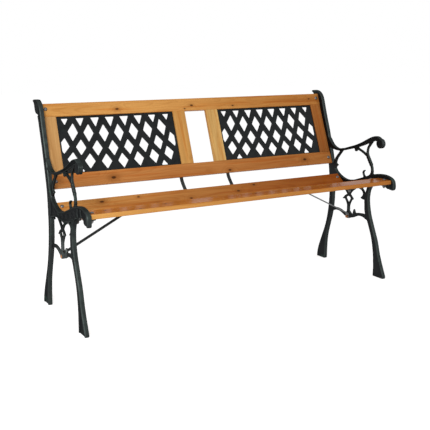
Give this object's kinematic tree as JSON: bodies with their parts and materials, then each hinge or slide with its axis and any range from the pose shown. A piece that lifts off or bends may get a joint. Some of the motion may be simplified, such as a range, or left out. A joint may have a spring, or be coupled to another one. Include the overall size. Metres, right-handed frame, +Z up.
{
  "type": "garden bench",
  "caption": "Slatted garden bench with scrolled cast iron end frames, curved arms and a backrest of wooden rails framing iron lattice panels.",
  "frame": {"origin": "on the floor under the middle of the bench's length and depth", "axes": "+X along the bench to the right as seen from the front, +Y towards the back, +Z up"},
  "size_m": [1.2284, 0.5088, 0.712],
  "materials": {
    "cast_iron": "green-black semi-gloss paint",
    "pine": "honey-coloured varnish",
    "zinc_steel": "dull zinc plate",
    "orange_steel": "yellow-orange plate"
  },
  "bodies": {
    "root": {"left_end_frame": "cast_iron", "right_end_frame": "cast_iron", "seat_slat_front": "pine", "seat_slat_second": "pine", "seat_slat_third": "pine", "seat_slat_fourth": "pine", "seat_slat_rear": "pine", "back_top_rail": "pine", "back_bottom_rail": "pine", "left_outer_stile": "pine", "right_outer_stile": "pine", "left_inner_stile": "pine", "right_inner_stile": "pine", "left_lattice_panel": "cast_iron", "right_lattice_panel": "cast_iron", "left_centre_strap": "cast_iron", "right_centre_strap": "cast_iron", "left_diagonal_stay": "cast_iron", "right_diagonal_stay": "cast_iron", "stile_dowels": "pine", "rail_bolts": "zinc_steel", "rail_washers": "zinc_steel", "rail_nuts": "zinc_steel", "slat_bolts": "zinc_steel", "slat_washers": "zinc_steel", "slat_nuts": "zinc_steel", "lattice_screws": "zinc_steel", "strap_screws": "zinc_steel", "stay_bolts": "orange_steel", "stay_nuts": "orange_steel", "stay_screws": "zinc_steel"}
  },
  "joints": []
}
